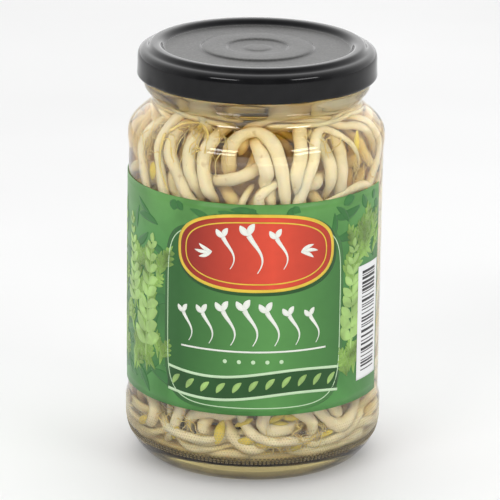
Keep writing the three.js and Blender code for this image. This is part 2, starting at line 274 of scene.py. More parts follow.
class Graph:
    """Shader nodes by short calls. Each value given is a socket, a number or a colour."""

    def __init__(self, tree):
        self.nodes = tree.nodes
        self.links = tree.links

    def feed(self, value, socket):
        if isinstance(value, bpy.types.NodeSocket):
            self.links.new(value, socket)
        elif socket.type == "RGBA":
            socket.default_value = (*value, 1)
        else:
            socket.default_value = value

    def add(self, kind, inputs=None, **settings):
        """A node; inputs gives the values of its sockets by name or number."""
        made = self.nodes.new(kind)
        for name, value in settings.items():
            setattr(made, name, value)
        for name, value in (inputs or {}).items():
            self.feed(value, made.inputs[name])
        return made

    def math(self, operation, *values):
        return self.add("ShaderNodeMath", dict(enumerate(values)), operation=operation).outputs[0]

    def between(self, source, low, high, to_low=0, to_high=1):
        """The source between low and high as to_low to to_high."""
        ends = {"Value": source, "From Min": low, "From Max": high, "To Min": to_low, "To Max": to_high}
        return self.add("ShaderNodeMapRange", ends, clamp=True).outputs[0]

    def ramp(self, source, *stops):
        """A colour ramp over a value; stops are (place, colour)."""
        made = self.add("ShaderNodeValToRGB", {0: source})
        elements = made.color_ramp.elements
        while len(elements) < len(stops):
            elements.new(0.5)
        for element, (position, colour) in zip(elements, stops):
            element.position = position
            element.color = (*colour, 1)
        return made.outputs[0]

    def blend(self, factor, first, second, kind="MIX"):
        inputs = {0: factor, 6: first, 7: second}
        return self.add("ShaderNodeMix", inputs, data_type="RGBA", blend_type=kind).outputs[2]


class Paint(Graph):
    """A material round its Principled shader, with a point's place in the row frame in metres."""

    def __init__(self, name, values):
        self.material = bpy.data.materials.new(name)
        self.material.use_nodes = True
        super().__init__(self.material.node_tree)
        self.shader = self.nodes["Principled BSDF"]
        self.output = self.nodes["Material Output"]
        for socket, value in values.items():
            self.feed(value, self.shader.inputs[socket])
        self.where = self.add("ShaderNodeTexCoord").outputs["Object"]
        self.x, self.y, self.height = self.add("ShaderNodeSeparateXYZ", {0: self.where}).outputs

    def radius(self):
        squares = [self.math("MULTIPLY", axis, axis) for axis in (self.x, self.y)]
        return self.math("SQRT", self.math("ADD", *squares))

    def noise(self, scale, detail=3.0, distortion=0.0, stretch=None):
        source = self.where
        if stretch:
            source = self.add("ShaderNodeMapping", {"Vector": source, "Scale": stretch}).outputs[0]
        inputs = {"Vector": source, "Scale": scale, "Detail": detail, "Distortion": distortion}
        return self.add("ShaderNodeTexNoise", inputs).outputs[0]

    def bump(self, height, strength, distance):
        made = self.add("ShaderNodeBump", {"Height": height, "Strength": strength, "Distance": distance})
        self.links.new(made.outputs[0], self.shader.inputs["Normal"])

    def clear_to_shadows(self, colour):
        """Lets light through a clear material, so what is inside it is lit."""
        clear = self.add("ShaderNodeBsdfTransparent", {"Color": colour}).outputs[0]
        in_shadow = self.add("ShaderNodeLightPath").outputs["Is Shadow Ray"]
        mixed = self.add("ShaderNodeMixShader", {0: in_shadow, 1: self.shader.outputs[0], 2: clear})
        self.links.new(mixed.outputs[0], self.output.inputs["Surface"])

    def coloured(self, colour):
        """The finished material in its base colour."""
        self.feed(colour, self.shader.inputs["Base Color"])
        return self.material


def shade_of(colour, share):
    return tuple(min(share * c, BRIGHTEST) for c in colour)


def glass_material():
    """Clear glass, darker and yellower towards the base: partly the tint of thick glass, partly painted shade
    for the dim contents and floor seen through it.
    """
    paint = Paint("clear_glass", {"Transmission Weight": 1, "IOR": 1.5, "Roughness": 0.012})
    # painted shade at the base: the dark end of this ramp stands for shaded contents and floor seen through
    # the thick glass
    tint = paint.ramp(
        paint.between(paint.height, 1.5 * MM, 9 * MM),
        (0, (0.08, 0.062, 0.03)),
        (0.4, (0.2, 0.165, 0.07)),
        (0.7, (0.7, 0.58, 0.24)),
        (1, (0.975, 0.96, 0.9)),
    )
    paint.bump(paint.noise(55.0, 2.0, 0.4, (1, 1, 0.55)), 0.22, 0.8 * MM)
    paint.clear_to_shadows((0.98, 0.98, 0.97))
    return paint.coloured(tint)


def brine_material():
    paint = Paint("brine", {"Transmission Weight": 1, "IOR": 1.336, "Roughness": 0})
    tint = paint.ramp(paint.noise(38.0), (0.3, (0.97, 0.92, 0.76)), (0.7, (0.985, 0.955, 0.85)))
    paint.clear_to_shadows((0.98, 0.95, 0.87))
    soak = paint.add("ShaderNodeVolumeAbsorption", {"Color": (0.88, 0.7, 0.0), "Density": 45.0})
    paint.links.new(soak.outputs[0], paint.output.inputs["Volume"])
    return paint.coloured(tint)


def stalk_material(name, pale, deep, spots, roughness=0.42):
    """Cream flesh, painted in a deep colour further from the glass: painted shade and the brine's tint for
    stalks deep in the heap.
    """
    looks = {
        "Roughness": roughness,
        "Specular IOR Level": WET_SPECULAR,
        "Subsurface Weight": 0.7,
        "Subsurface Radius": (1.0, 0.75, 0.45),
        "Subsurface Scale": 2.2 * MM,
    }
    paint = Paint(name, looks)
    stops = ((0.28, shade_of(pale, 0.82)), (0.5, pale), (0.72, shade_of(pale, 1.05)))
    flesh = paint.ramp(paint.noise(120.0, 4.0, 0.5), *stops)
    # the wall leans in at the shoulder, so depth is told from the glass there too
    above = paint.math("MAXIMUM", paint.math("SUBTRACT", paint.height, SHOULDER_START * MM), 0)
    lean = paint.math("MULTIPLY_ADD", above, SHOULDER_LEAN, paint.radius())
    # painted shade and brine tint: the flesh turns to the deep colour further from the glass
    near = paint.between(lean, DEEP_RADIUS * MM, PALE_RADIUS * MM)
    body = paint.blend(near, deep, flesh)
    few = paint.ramp(paint.noise(420.0, 2.0, 0.3), (0.66, (0, 0, 0)), (0.74, (1, 1, 1)))
    colour = paint.blend(paint.math("MULTIPLY", few, 0.35), body, spots)
    paint.bump(paint.noise(900.0, 2.0, 0.0, (1, 1, 0.3)), 0.25, 0.25 * MM)
    return paint.coloured(colour)


def heap_shade_material():
    """Painted shade and brine tint: dim golden brown for the middle of the heap behind the stalks, where
    little light reaches.
    """
    paint = Paint("heap_middle_shade", {"Roughness": 0.6, "Specular IOR Level": WET_SPECULAR})
    wash = paint.noise(90.0, 4.0, 0.8)
    paint.bump(wash, 0.6, 2 * MM)
    dark, middle, light = (0.4, 0.22, 0.05), (0.62, 0.42, 0.14), (0.76, 0.6, 0.32)
    return paint.coloured(paint.ramp(wash, (0.32, dark), (0.5, middle), (0.68, light)))


def paper_material():
    """Printed paper: a green ground with soft leaf shadows, paler towards the top and the bottom."""
    paint = Paint("label_paper", PAPER_SHEEN)
    ground = paint.ramp(
        paint.between(paint.height, LABEL_BOTTOM * MM, LABEL_TOP * MM),
        (0, (0.09, 0.29, 0.07)),
        (0.4, (0.055, 0.21, 0.05)),
        (0.75, (0.08, 0.27, 0.066)),
        (1, (0.135, 0.35, 0.09)),
    )
    shade = paint.ramp(paint.noise(42.0, 2.0, 1.6), (0.4, (0.55, 0.62, 0.55)), (0.58, (1, 1, 1)))
    shaded = paint.blend(0.6, ground, shade, "MULTIPLY")
    fine = paint.noise(900.0, 2.0)
    grain = paint.ramp(fine, (0.3, (0.93, 0.93, 0.93)), (0.7, (1, 1, 1)))
    paint.bump(fine, 0.08, 0.1 * MM)
    return paint.coloured(paint.blend(0.5, shaded, grain, "MULTIPLY"))


def ink_material(name, colour, darker=0.82):
    paint = Paint(name, PAPER_SHEEN)
    wash = paint.ramp(paint.noise(160.0, 3.0, 0.6), (0.32, shade_of(colour, darker)), (0.66, colour))
    paint.bump(paint.noise(900.0, 2.0), 0.06, 0.1 * MM)
    return paint.coloured(wash)


def glowing_ink(name, edge, middle, reach):
    """Ink printed lighter round the middle of the front, out to reach in millimetres."""
    paint = Paint(name, PAPER_SHEEN)
    aside = paint.math("ABSOLUTE", paint.math("SUBTRACT", paint.x, 5 * MM))
    halfway = tuple(mix(a, b, 0.5) for a, b in zip(middle, edge))
    stops = ((0, middle), (0.55, halfway), (1, edge))
    glow = paint.ramp(paint.between(aside, 0, reach * MM), *stops)
    wash = paint.noise(300.0, 3.0, 0.3)
    grain = paint.ramp(wash, (0.3, (0.9, 0.9, 0.9)), (0.7, (1, 1, 1)))
    paint.bump(wash, 0.05, 0.1 * MM)
    return paint.coloured(paint.blend(0.6, glow, grain, "MULTIPLY"))


def lacquer_material():
    """Black gloss lacquer on tinplate, rubbed and a little dusty on its sunk panel."""
    paint = Paint("black_lacquer", {"Specular IOR Level": 0.25})
    marks = paint.noise(300.0, 5.0, 0.2)
    normal = paint.add("ShaderNodeNewGeometry").outputs["True Normal"]
    up = paint.between(paint.add("ShaderNodeSeparateXYZ", {0: normal}).outputs[2], 0.8, 0.98)
    on_panel = paint.between(paint.radius(), 27.5 * MM, 26.2 * MM)
    dusty = paint.math("MULTIPLY", up, on_panel)
    dust = paint.noise(1500.0, 3.0, 0.4)
    grains = paint.ramp(dust, (0.45, (0.04, 0.04, 0.038)), (0.72, (0.085, 0.083, 0.078)))
    black = paint.ramp(marks, (0.4, (0.0035, 0.0035, 0.0042)), (0.75, (0.0075, 0.0075, 0.0085)))
    rough = paint.math("MULTIPLY_ADD", dusty, 0.26, paint.between(marks, 0, 1, 0.06, 0.12))
    paint.feed(rough, paint.shader.inputs["Roughness"])
    paint.bump(paint.noise(70.0, 2.0), 0.12, 0.6 * MM)
    return paint.coloured(paint.blend(dusty, black, grains))


def plain_material(name, colour, roughness, scale=260.0):
    paint = Paint(name, {"Roughness": roughness})
    wash = paint.noise(scale)
    paint.bump(wash, 0.1, 0.2 * MM)
    return paint.coloured(paint.ramp(wash, (0.3, shade_of(colour, 0.9)), (0.7, colour)))


# Meshes


def make_piece(name, points, faces, material, body, slot, smooth=True):
    mesh = bpy.data.meshes.new(name)
    mesh.from_pydata([tuple(c * MM for c in p) for p in points], [], [tuple(f) for f in faces])
    mesh.polygons.foreach_set("use_smooth", [smooth] * len(mesh.polygons))
    mesh.materials.append(material)
    mesh.update()
    made = bpy.data.objects.new(name, mesh)
    bpy.context.collection.objects.link(made)
    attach(made, body)
    return made


def turned(outline, steps, wobble=None):
    """A lathe of a closed outline, or of one from the axis to the axis. wobble moves a point."""
    points = []
    rows = []
    for row, (radius, height) in enumerate(outline):
        if radius < 1e-6:
            rows.append([len(points)] * steps)
            points.append((0, 0, height))
            continue
        rows.append(list(range(len(points), len(points) + steps)))
        for step in range(steps):
            away = wobble(row, step, radius, height) if wobble else (radius, height)
            points.append(place(360 * step / steps, *away))
    on_axis = outline[0][0] < 1e-6 and outline[-1][0] < 1e-6
    pairs = list(zip(rows, rows[1:])) + ([] if on_axis else [(rows[-1], rows[0])])
    faces = []
    for low, high in pairs:
        for step in range(steps):
            after = (step + 1) % steps
            corners = [low[step], low[after], high[after], high[step]]
            face = [c for i, c in enumerate(corners) if c != corners[i - 1]]
            if len(face) > 2:
                faces.append(face)
    return points, faces


def under_glass(azimuth, height, depth=0.0):
    """A place at a depth under the inside of the glass."""
    return place(azimuth, float(radius_at(GLASS_INSIDE, height)) - depth, height)


def grid_faces(rows, columns, closed=False, flipped=False, first=0):
    """Faces between rows of points. Closed rows join their ends; flipped faces look the other way."""
    faces = []
    for start in range(first, first + (rows - 1) * columns, columns):
        for j in range(columns if closed else columns - 1):
            a, b = start + j, start + (j + 1) % columns
            face = (a, b, b + columns, a + columns)
            faces.append(face[:1] + face[:0:-1] if flipped else face)
    return faces


def sheet_faces(rows, columns):
    """Faces of a thin sheet. Its points are one side's rows and then the other side's."""
    half = rows * columns
    faces = []
    for face in grid_faces(rows, columns):
        faces += [face, tuple(half + corner for corner in face[::-1])]
    for a in range(0, half - columns, columns):
        b = a + columns - 1
        faces.append((a, a + columns, a + columns + half, a + half))
        faces.append((b + half, b + columns + half, b + columns, b))
    for a in range(columns - 1):
        b = half - columns + a
        faces.append((a + half, a + 1 + half, a + 1, a))
        faces.append((b, b + 1, b + 1 + half, b + half))
    return faces


def rib(stations):
    """A rib round part of the jar: each station is (azimuth, four [radius, height] corners)."""
    points = [place(azimuth, *corner) for azimuth, corners in stations for corner in corners]
    last = len(points) - 1
    ends = [(0, 1, 2, 3), (last, last - 1, last - 2, last - 3)]
    return points, grid_faces(len(stations), 4, closed=True, flipped=True) + ends


def joined(parts):
    points = []
    faces = []
    for part_points, part_faces in parts:
        start = len(points)
        points.extend(part_points)
        faces.extend([tuple(start + i for i in face) for face in part_faces])
    return points, faces


def lug_azimuths():
    return [FIRST_LUG + 360 / LUG_COUNT * i for i in range(LUG_COUNT)]


def thread_start(lug_azimuth):
    """One start of the thread, which rises from over its closed lug and fades at both ends."""
    steps = 28
    root = FINISH_RADIUS - 0.3
    stations = []
    for i in range(steps + 1):
        turn = -THREAD_BEFORE + (THREAD_BEFORE + THREAD_AFTER) * i / steps
        share = float(smooth_step(-0.15, 3, min(i, steps - i)))
        crest = mix(FINISH_RADIUS, THREAD_CREST, share)
        rise = THREAD_LEAD * (turn + LUG_SWEEP / 2) / 360
        bottom = LID_BOTTOM + LUG_TOP + THREAD_CLEARANCE + max(rise, -FLAT_START)
        corners = [(root, bottom), (crest, bottom), (crest, bottom + 0.9), (root, bottom + 1.9)]
        stations.append((lug_azimuth + turn, corners))
    return rib(stations)


def build_glass():
    """The jar's glass, with the fine seam that its mould leaves up both sides."""
    outer = outer_outline()
    outline = outer + inner_outline()[::-1]
    half = GLASS_STEPS // 2
    seam_step = round(GLASS_STEPS * SEAM_AZIMUTH / 360)

    def wobble(row, step, radius, height):
        seam = min((step - seam_step) % half, (seam_step - step) % half)
        if row < len(outer) and radius > 29.7 and 2 < height < 108:
            return radius + SEAM_HEIGHT * (max(0, 1 - seam / 1.5) - 1), height
        return radius, height

    parts = [turned(outline, GLASS_STEPS, wobble)]
    parts += [thread_start(azimuth) for azimuth in lug_azimuths()]
    made = make_piece("glass_jar", *joined(parts), glass_material(), JAR_BODY, "glass")
    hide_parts("jar")


def stud(azimuth, height, half_turn, half_height, lift):
    """A small raised mark on the heel, with its foot sunk into the glass."""
    points = []
    for rise, shrink in ((-0.1, 1), (lift, 0.6)):
        for side, level in ((-1, -1), (1, -1), (1, 1), (-1, 1)):
            at = height + level * shrink * half_height
            radius = float(np.interp(at, HEEL[:, 1], HEEL[:, 0])) + rise
            points.append(place(azimuth + side * shrink * half_turn, min(radius, BULGE_RADIUS), at))
    faces = [(3, 2, 1, 0), (4, 5, 6, 7), (0, 1, 5, 4), (1, 2, 6, 5), (2, 3, 7, 6), (3, 0, 4, 7)]
    return points, faces


def build_heel_marks():
    """Three rows of dashes round the heel, and nine rows of fine dots over them."""
    pitch = 360 / HEEL_DASHES
    dashes = []
    for row in range(3):
        dashes += [stud(pitch * i, 7 + 0.75 * row, 0.3 * pitch, 0.24, 0.1) for i in range(HEEL_DASHES)]
    # the dashes are clear glass, painted dark brown for the dark look that refraction gives them: painted
    # shade
    marks = plain_material("heel_mark", (0.2, 0.155, 0.075), 0.3)
    make_piece("heel_dashes", *joined(dashes), marks, JAR_BODY, "glass", smooth=False)
    pitch = 360 / HEEL_DOTS
    dots = []
    for row in range(9):
        shift, height = 0.5 * (row % 2), 9.6 + 0.8 * row
        dots += [stud(pitch * (i + shift), height, 0.17 * pitch, 0.13, 0.06) for i in range(HEEL_DOTS)]
    # the dots are painted a darker khaki in the same way: painted shade from refraction
    grains = plain_material("heel_dot", (0.58, 0.5, 0.32), 0.25)
    make_piece("heel_dots", *joined(dots), grains, JAR_BODY, "glass", smooth=False)


def build_brine():
    """The brine fills the glass to its level, and wets it, so no air shows between the two."""
    wet = inset(GLASS_INSIDE, -0.06)
    below = [tuple(p) for p in wet if p[1] < BRINE_LEVEL]
    outline = [*below, (27.6, BRINE_LEVEL - 0.1), (26.4, BRINE_LEVEL - 0.5), (0, BRINE_LEVEL - 0.6)]
    made = make_piece("brine_fill", *turned(outline, 144), brine_material(), JAR_BODY, "brine")
    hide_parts("brine")


# The stalks in front, above and below the label, as in the solids
FRONT_STALKS = [
    [(-44, 104), (-49, 100.5), (-48, 94.6), (-38, 87.7), (-31, 84.4), (-18, 78)],
    [(-26, 103), (-33, 99.5), (-33, 94.3), (-33, 89.2), (-30, 79)],
    [(-18, 102.5), (-26, 99.9), (-28, 95.8), (-26, 88), (-20, 78)],
    [(-1, 98), (3, 94.5), (6, 90.9), (9.3, 85.9), (12, 77)],
    [
        (-15, 90), (-14, 95.8), (-10.7, 98.9), (-4, 101), (3, 101.2),
        (7, 97.8), (11, 91.8), (13.4, 86), (16, 75),
    ],
    [(-40, 84), (-24, 88.1), (-8.5, 90.2), (0, 92.4), (12, 97)],
    [(33, 103.5), (27, 99.5), (22.8, 94.2), (21.2, 88.2), (24, 78)],
    [(25, 102.5), (33, 99.5), (37, 94.9), (38.5, 89.7), (39, 80)],
    [(52, 103), (49, 99.1), (45.2, 92.9), (46, 84.8), (50, 74)],
    [(8, 84), (18.9, 85.8), (25.9, 86.9), (36, 89.5), (56, 88)],
    [(-60, 103), (-66, 99), (-70, 92), (-66, 84), (-58, 74)],
    [(20, 20.9), (1.4, 20.9), (-18.9, 20.6), (-29, 19.2), (-35.6, 15.7), (-38, 9.5)],
    [(-20, 26), (-26.4, 17.1), (-25.3, 13.7), (-21, 9)],
    [(10, 30), (6, 21.4), (2.8, 16.2), (9.7, 15.4), (22.2, 16.7), (34, 22)],
    [(14, 27), (23.8, 19.7), (29.3, 17.8), (32, 13.2), (33.5, 9)],
    [(36, 28), (43.7, 20.6), (49.4, 16.1), (52, 10.5)],
    [(-78, 30), (-62, 22), (-55, 16), (-60, 11), (-74, 12)],
]


def loose_route(draw):
    """A loose stalk wanders over the wall and turns back at the shoulder and the floor."""
    low = LOWEST_STALK + TURN_MARGIN
    high = HIGHEST_STALK - TURN_MARGIN
    azimuth = 360 * next(draw)
    height = mix(low, high, next(draw))
    heading = 2 * math.pi * next(draw)
    bend = MOST_BEND * (2 * next(draw) - 1)
    change = MOST_CHANGE * MOST_BEND * (2 * next(draw) - 1)
    length = mix(SHORTEST_STALK, LONGEST_STALK, next(draw))
    route = []
    run = 0
    while run <= length:
        route.append((azimuth, height))
        radius = float(radius_at(GLASS_INSIDE, height))
        azimuth += math.degrees(STALK_STEP * math.cos(heading) / radius)
        height = min(max(height + STALK_STEP * math.sin(heading), LOWEST_STALK), HIGHEST_STALK)
        bend += change
        heading += bend * STALK_STEP
        rising = math.sin(heading) > 0
        if (height > high and rising) or (height < low and not rising):
            heading += -TURN_BACK if rising == (math.cos(heading) > 0) else TURN_BACK
        run += STALK_STEP
    return route


def stalk_line(route, thickness, depth, dive=4.0):
    """The middle line of a stalk under the glass, with its ends dipping into the heap."""
    line = inset(GLASS_INSIDE, 1.0 + thickness)
    flat = catmull([place(a, float(radius_at(line, z)), z) for a, z in route], 26)
    run = np.linspace(0, length_of(flat), len(flat))
    from_end = np.minimum(run, run[-1] - run)
    dip = dive * np.maximum(1 - from_end / 9, 0) ** 2
    inside = radius_at(line, flat[:, 2]) - depth - dip
    flat[:, :2] *= (inside / np.hypot(flat[:, 0], flat[:, 1]))[:, None]
    return flat


def close_pairs(points, owner, reach):
    """Pairs of points of two stalks that lie within reach of each other."""
    order = np.argsort(points[:, 2])
    level = points[order, 2]
    pairs = []
    for start in range(0, len(order), BATCH):
        end = min(start + BATCH, len(order))
        last = np.searchsorted(level, level[end - 1] + reach)
        here, there = order[start:end], order[start:last]
        close = ((points[here, None] - points[None, there]) ** 2).sum(2) < reach**2
        # a pair inside the batch is met from both sides, and is taken from one
        before = owner[here][:, None] < owner[there][None]
        after = (owner[here][:, None] > owner[there][None]) & (np.arange(start, last)[None] >= end)
        i, j = np.nonzero(close & (before | after))
        pairs.append(np.stack([here[i], there[j]], 1))
    return np.concatenate(pairs)


# Seed leaves by the glass: azimuth, height, and lean in degrees from upright
LOOSE_LEAVES = [
    (13, 20, 70), (19, 19.5, 95), (2, 10.5, 80), (-4, 18.3, 60), (-41, 13.3, 20), (52, 9, 50), (8, 11.5, 100),
    (-2, 13, 75), (23, 11, 40), (-16, 15, 10), (40, 13, 80), (-34, 101, 40), (45, 101.5, 70), (14, 17.8, 85),
    (-66, 12, 60), (-58, 88, 15), (58, 96, 30), (84, 40, 60), (92, 66, 20), (97, 24, 80),
]

# Tangles of rootlets: azimuth, height and how many
TANGLES = [
    (-36, 98, 26), (-58, 97, 18), (-20, 99, 12), (-66, 95, 14), (31, 13.5, 20), (-38, 14.5, 18),
    (10, 9.6, 22), (40, 99.5, 14), (22, 9.5, 20), (-50, 17.5, 12), (62, 90, 14), (90, 50, 20),
    (100, 80, 16), (150, 15, 16), (200, 97, 18), (250, 95, 18),
]

# Two longer rootlets, as (azimuth, height) along each
LONG_ROOTLETS = [
    [(-50, 99), (-44, 101.5), (-34, 102.4), (-27, 100.2), (-25, 96)],
    [(-52, 98), (-51, 90), (-46, 84)],
]

# Gaps in the heap by the glass: azimuth, height and radius
HOLLOWS = [(-40, 98, 9), (-8, 94, 5.5), (17, 98, 5.5), (-3, 88, 4), (-9, 16, 5), (30, 12, 4), (-52, 20, 5)]


def pushes(points, thick, weight, i, j):
    """How far the stalks that cross at points i and j push each other away."""
    gap = points[i] - points[j]
    distance = np.linalg.norm(gap, axis=1) + 1e-6
    overlap = np.maximum(thick[i] + thick[j] - distance, 0)
    share = weight[j] / (weight[i] + weight[j])
    push = np.zeros_like(points)
    met = np.zeros(len(points))
    away = gap * (overlap / distance)[:, None]
    np.add.at(push, i, away * share[:, None])
    np.add.at(push, j, -away * (1 - share)[:, None])
    np.add.at(met, i, overlap > 0)
    np.add.at(met, j, overlap > 0)
    return push / np.maximum(met, 1)[:, None] ** 0.5


def move_smoothly(line, push):
    """Moves one stalk by its pushes, spread along it, and straightens it a little."""
    for _ in range(3):
        push = (np.vstack([push[:1], push[:-1]]) + 2 * push + np.vstack([push[1:], push[-1:]])) / 4
    line += push
    line[1:-1] += 0.08 * (line[:-2] + line[2:] - 2 * line[1:-1])


def keep_inside(points, thick, loose):
    """Keeps points off the floor, out of the hollows where they are loose, and inside the glass."""
    points[:, 2] = np.clip(points[:, 2], LOWEST_MIDDLE + thick, HIGHEST_MIDDLE)
    reach = np.hypot(points[:, 0], points[:, 1])
    for azimuth, height, size in HOLLOWS:
        away = np.linalg.norm(points - under_glass(azimuth, height), axis=1)
        near = np.maximum(size - away, 0) * loose
        points[:, :2] *= (1 - 0.5 * near / reach)[:, None]
    reach = np.hypot(points[:, 0], points[:, 1])
    most = radius_at(inset(GLASS_INSIDE, 0.7), points[:, 2]) - thick
    points[:, :2] *= np.minimum(most / reach, 1)[:, None]


def relax(stalks, rounds):
    """Pushes crossing stalks apart, keeping each one smooth and inside the glass."""
    points = np.concatenate([s["line"] for s in stalks])
    counts = [len(s["line"]) for s in stalks]
    owner = np.repeat(np.arange(len(stalks)), counts)
    thick = np.repeat([s["thickness"] for s in stalks], counts)
    weight = np.repeat([s["weight"] for s in stalks], counts)
    ends = np.cumsum([0, *counts])
    for turn in range(rounds):
        if turn % 4 == 0:
            i, j = close_pairs(points, owner, 5.5).T
        push = pushes(points, thick, weight, i, j)
        for a, b in zip(ends, ends[1:]):
            move_smoothly(points[a:b], push[a:b])
        keep_inside(points, thick, weight < max(weight))
    for i, stalk in enumerate(stalks):
        stalk["line"] = points[ends[i] : ends[i + 1]]


def tube(line, radii, sides, flat=1.0):
    """A closed tube with rounded ends, along a line, with a radius at each point of it."""
    tangents = unit(np.gradient(line, axis=0))
    normal = unit(np.cross(tangents[0], [0.31, 0.17, 0.93]))
    points = []
    for middle, tangent, radius in zip(line, tangents, radii):
        normal = unit(normal - tangent * normal.dot(tangent))
        side_way = np.cross(tangent, normal)
        for side in range(sides):
            angle = 2 * math.pi * side / sides
            offset = math.cos(angle) * normal + flat * math.sin(angle) * side_way
            points.append(tuple(middle + radius * offset))
    tip, last = len(points), len(points) - sides
    points.append(tuple(line[0] - tangents[0] * radii[0] * 0.5))
    points.append(tuple(line[-1] + tangents[-1] * radii[-1] * 0.5))
    faces = grid_faces(len(line), sides, closed=True)
    for side in range(sides):
        after = (side + 1) % sides
        faces += [(tip, after, side), (tip + 1, last + side, last + after)]
    return points, faces


def stalk_tube(shape, sides, rings, draw):
    """A stalk: rounded at its head, a little uneven along it, and drawn out to a root."""
    line = catmull(shape["line"][::3], rings)
    share = np.linspace(0, 1, rings)
    phase = ALL_ROUND * next(draw)
    wave = 1 + 0.05 * np.sin(share * 17 + phase) + 0.03 * np.sin(share * 41 + 2 * phase)
    head = np.sqrt(np.clip(share / 0.035, 0.18, 1))
    tail = 1 - (1 - shape["root"]) * smooth_step(0.62, 0.97, share)
    tip = np.sqrt(np.clip((1 - share) / 0.02, 0.2, 1))
    radii = shape["thickness"] * wave * head * tail * tip
    return tube(line, radii, sides, flat=0.93)


def stalk(route, thickness, depth, weight, root, dive=4.0):
    line = stalk_line(route, thickness, depth, dive)
    return {"line": line, "thickness": thickness, "weight": weight, "root": root}


def level_stalk(low, high, draw):
    """A thin stalk that runs level for 100 degrees, in the neck or on the floor."""
    start = 360 * next(draw)
    level = mix(low, high, next(draw))
    slope = mix(-0.05, 0.05, next(draw))
    route = [(start + turn, min(max(level + slope * turn, low), high)) for turn in range(0, 120, 20)]
    return stalk(route, mix(1, 1.7, next(draw)), mix(0.2, 2.5, next(draw)), 1.0, 0.4, 2.0)


def make_stalks():
    """All the stalks by the glass, and those further in. The first of them are in the solids too."""
    draw = random_numbers(SEED)
    extra = random_numbers(SEED + 1)
    outer = [stalk(route, STALK_RADIUS, 0.3 * next(draw), FRONT_WEIGHT, 0.55) for route in FRONT_STALKS]
    for _ in range(OUTER_LOOSE):
        thickness = mix(THINNEST_STALK, STALK_RADIUS, next(draw))
        route = loose_route(draw)
        outer.append(stalk(route, thickness, 1.2 * next(draw), 1.5, mix(0.3, 0.8, next(extra))))
    for count, low, high in ((NECK_STALKS, 100.5, 110.2), (FLOOR_STALKS, 6.8, 12)):
        outer += [level_stalk(low, high, extra) for _ in range(count)]
    inner = []
    for count, low, high in ((MIDDLE_LOOSE, 3.6, 5.4), (INNER_LOOSE, 7.5, 10)):
        for _ in range(count):
            thickness = mix(THINNEST_STALK, STALK_RADIUS, next(extra))
            route = loose_route(extra)
            inner.append(stalk(route, thickness, mix(low, high, next(extra)), 0.7, 0.6, 2.0))
    relax(outer + inner, RELAX_ROUNDS)
    return outer, inner


def leaf_blade(middle, along, out, length, width, cup):
    """One seed leaf: a cupped almond with two faces."""
    across = np.cross(along, out)
    steps = 9
    points = []
    for side in (1, -1):
        for t in np.arange(steps + 1) / steps:
            half = width * math.sin(math.pi * min(t * 0.94 + 0.05, 1)) ** 0.7
            for u in LEAF_RIBS:
                lift = (cup + 0.3 * side) * (1 - u * u) * math.sin(math.pi * t)
                points.append(tuple(middle + along * length * t + across * half * u + out * lift))
    return points, sheet_faces(steps + 1, len(LEAF_RIBS))


def build_seed_leaves(outer):
    """Yellow seed leaves, mostly low in the jar, in pairs at stalk heads and loose by the glass."""
    draw = random_numbers(911)
    parts = []
    for azimuth, height, lie in LOOSE_LEAVES:
        radius = float(radius_at(inset(GLASS_INSIDE, 2.2), height))
        middle = np.array(place(azimuth, radius, height))
        out = np.array(place(azimuth, 1, 0))
        level = np.array(place(azimuth + 90, 1, 0))
        turn = math.radians(lie + 20 * (next(draw) - 0.5))
        along = level * math.sin(turn) + np.array([0, 0, 1]) * math.cos(turn)
        length = mix(4.5, 8, next(draw))
        width = mix(0.9, 1.6, next(draw))
        parts.append(leaf_blade(middle - along * length / 2, along, out, length, width, 0.5))
    for shape in outer[len(FRONT_STALKS) : len(FRONT_STALKS) + OUTER_LOOSE : 4]:
        head, _, neck = shape["line"][:3]
        along = unit(head - neck)
        out = unit(head * (1, 1, 0))
        out = unit(out - along * out.dot(along))
        for cup in (0.5, -0.5):
            parts.append(leaf_blade(head - out * 0.6, along, out, mix(4, 6, next(draw)), 1.5, cup))
    # the second colour is painted shade for leaves further from the glass
    material = stalk_material("seed_leaf", (0.83, 0.62, 0.1), (0.5, 0.3, 0.04), (0.35, 0.2, 0.03), 0.5)
    make_piece("seed_leaves", *joined(parts), material, JAR_BODY, "sprouts")


def rootlet(azimuth, height, draw):
    """A fine root that wanders under the glass from near a place."""
    azimuth += 16 * (next(draw) - 0.5)
    height += 7 * (next(draw) - 0.5)
    heading = ALL_ROUND * next(draw)
    depth = 1.2 + 2.2 * next(draw)
    route = []
    for _ in range(7):
        height = min(max(height, 9), 103)
        route.append(under_glass(azimuth, height, depth))
        azimuth += 2.6 * math.cos(heading)
        height += 1.5 * math.sin(heading)
        heading += 1.6 * (next(draw) - 0.5)
    return tube(catmull(route, 16), 0.2 * (1 - 0.75 * np.linspace(0, 1, 16)), 4)


def build_root_hairs():
    """Fine yellow rootlets in the gaps by the glass, in small tangles, and two longer ones."""
    draw = random_numbers(4057)
    parts = []
    for azimuth, height, count in TANGLES:
        parts += [rootlet(azimuth, height, draw) for _ in range(count)]
    for loop in LONG_ROOTLETS:
        line = catmull([under_glass(azimuth, height, 1.3) for azimuth, height in loop], 30)
        parts.append(tube(line, 0.55 - 0.3 * np.linspace(0, 1, 30), 6))
    # the second colour is painted shade for rootlets further from the glass
    material = stalk_material("rootlet", (0.86, 0.66, 0.28), (0.72, 0.48, 0.14), (0.3, 0.17, 0.04), 0.5)
    make_piece("root_hairs", *joined(parts), material, JAR_BODY, "sprouts")


def build_sprouts():
    outer, inner = make_stalks()
    draw = random_numbers(77)
    # the second colour is painted shade for flesh further from the glass
    flesh = stalk_material("sprout_flesh", (0.84, 0.785, 0.67), (0.78, 0.56, 0.2), (0.4, 0.25, 0.08))
    front = joined([stalk_tube(s, 12, 45, draw) for s in outer])
    made = make_piece("sprout_stalks", *front, flesh, JAR_BODY, "sprouts")
    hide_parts("sprouts")
    back = joined([stalk_tube(s, 8, 34, draw) for s in inner])
    make_piece("sprout_stalks_inner", *back, flesh, JAR_BODY, "sprouts")
    build_heap_core()
    build_seed_leaves(outer)
    build_root_hairs()


